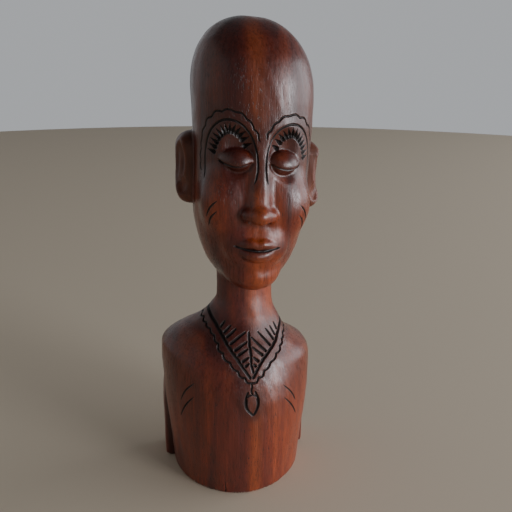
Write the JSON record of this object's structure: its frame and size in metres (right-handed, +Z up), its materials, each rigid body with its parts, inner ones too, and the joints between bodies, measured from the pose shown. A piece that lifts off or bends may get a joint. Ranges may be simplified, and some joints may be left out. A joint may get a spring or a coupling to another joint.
{
  "type": "carved wooden bust",
  "caption": "Hand-carved hardwood bust with a tall smooth head on a slim neck, carved brow arches and V collar, and low-relief arms on a rounded block.",
  "frame": {"origin": "centre of the flat base, on the surface the figure stands on", "axes": "+Z up along the figure, -Y out of the face, +X towards the figure's left side"},
  "size_m": [0.1039, 0.0826, 0.3002],
  "materials": {
    "waxed_wood": "reddish-brown hardwood, waxed to a soft gloss, with dark stained cuts",
    "ear_wood": "the same hardwood left less polished"
  },
  "bodies": {
    "root": {"chest": "waxed_wood", "arm_right": "waxed_wood", "arm_left": "waxed_wood", "neck": "waxed_wood", "head": "waxed_wood", "ear_right": "ear_wood", "ear_left": "ear_wood"}
  },
  "joints": []
}
